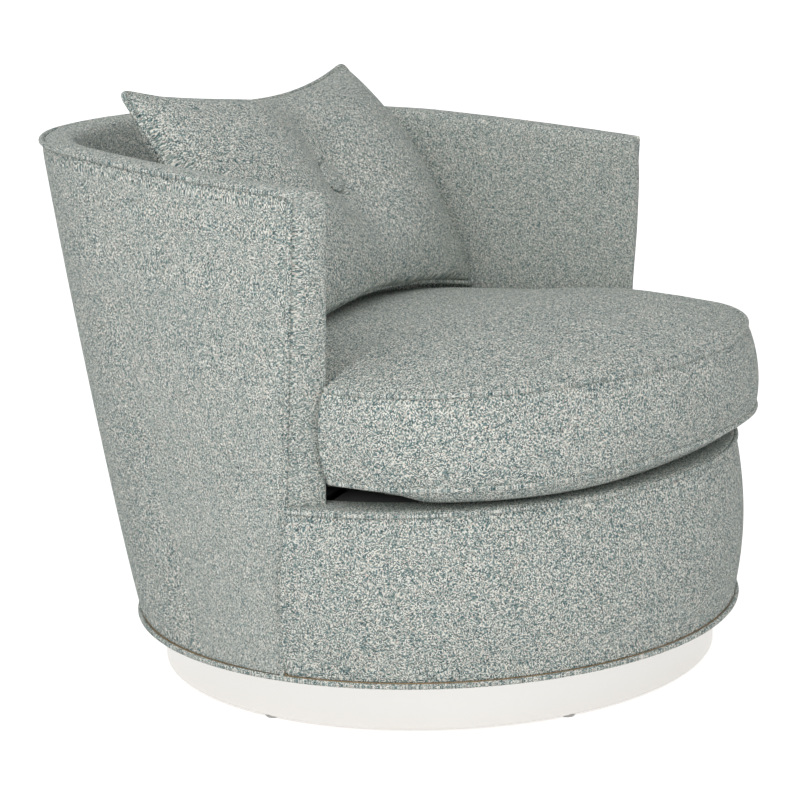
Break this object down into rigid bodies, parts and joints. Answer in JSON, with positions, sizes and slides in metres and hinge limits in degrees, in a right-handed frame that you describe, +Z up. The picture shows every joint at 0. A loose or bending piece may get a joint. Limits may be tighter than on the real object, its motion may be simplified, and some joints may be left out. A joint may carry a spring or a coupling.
{
  "type": "swivel barrel chair",
  "caption": "Barrel armchair: padded shell round a loose seat cushion with a buttoned pillow, turning on a ball swivel over a low round metal-faced plinth.",
  "frame": {"origin": "on the swivel axis, in the plane of the floor under the glides", "axes": "+Z up, the seat's front towards -Y, the sitter's right arm at -X"},
  "size_m": [0.8488, 0.9238, 0.7884],
  "materials": {
    "glides": "moulded nylon",
    "plinth_wood": "plain plywood",
    "plinth_metal": "finely brushed",
    "frame_wood": "plain plywood",
    "bolt_steel": "zinc plated",
    "swivel_steel": "black satin",
    "cage_plastic": "moulded",
    "ball_steel": "ground",
    "cover_cloth": "heathered weave",
    "cushion_cloth": "heathered weave",
    "pillow_cloth": "heathered weave",
    "button_cloth": "heathered weave",
    "welt_cloth": "bias-cut weave over cord",
    "deck_cloth": "plain dark cloth",
    "webbing": "elastic webbing",
    "zipper_tape": "woven tape"
  },
  "bodies": {
    "base": {"floor_glides": "glides", "plinth_drum": "plinth_wood", "plinth_band": "plinth_metal", "plinth_board": "plinth_wood", "plinth_brace_across": "frame_wood", "plinth_brace_along": "frame_wood", "plinth_plate_bolts": "bolt_steel", "swivel_lower_plate": "swivel_steel", "swivel_lower_race": "swivel_steel", "swivel_kingpin": "bolt_steel"},
    "ball_ring": {"swivel_ball_cage": "cage_plastic", "swivel_balls": "ball_steel"},
    "chair_body": {"swivel_upper_plate": "swivel_steel", "swivel_upper_race": "swivel_steel", "seat_plate_bolts": "bolt_steel", "base_board": "frame_wood", "seat_rail": "frame_wood", "top_rail": "frame_wood", "lower_posts": "frame_wood", "upper_posts": "frame_wood", "front_board": "frame_wood", "outside_cover": "cover_cloth", "inside_pad": "cover_cloth", "rim_welt": "welt_cloth", "arm_welt_left": "welt_cloth", "arm_welt_right": "welt_cloth", "arm_front_left": "cover_cloth", "arm_front_right": "cover_cloth", "front_border": "cover_cloth", "base_welt": "welt_cloth", "deck_welt": "welt_cloth", "deck_straps_along": "webbing", "deck_straps_across": "webbing", "deck_pad": "deck_cloth"},
    "seat_cushion": {"seat_cushion": "cushion_cloth", "cushion_top_welt": "welt_cloth", "cushion_bottom_welt": "welt_cloth", "cushion_zipper": "zipper_tape"},
    "pillow": {"pillow": "pillow_cloth", "pillow_welt": "welt_cloth", "pillow_buttons": "button_cloth"}
  },
  "joints": [
    {"name": "swivel", "type": "hinge", "parent": "base", "child": "chair_body", "pos_m": [0, 0, 0.05], "axis": [0, 0, 1], "continuous": true},
    {"name": "ball_ring_turn", "type": "hinge", "parent": "base", "child": "ball_ring", "pos_m": [0, 0, 0.05], "axis": [0, 0, 1], "continuous": true},
    {"name": "seat_cushion_lift", "type": "slide", "parent": "chair_body", "child": "seat_cushion", "axis": [0, -0.0599, 0.9982], "range_m": [0, 0.3]},
    {"name": "pillow_lift", "type": "slide", "parent": "seat_cushion", "child": "pillow", "axis": [0, 0, 1], "range_m": [0, 0.3]}
  ],
  "couplings": [
    {"joint": "ball_ring_turn", "follows": "swivel", "ratio": 0.5}
  ]
}
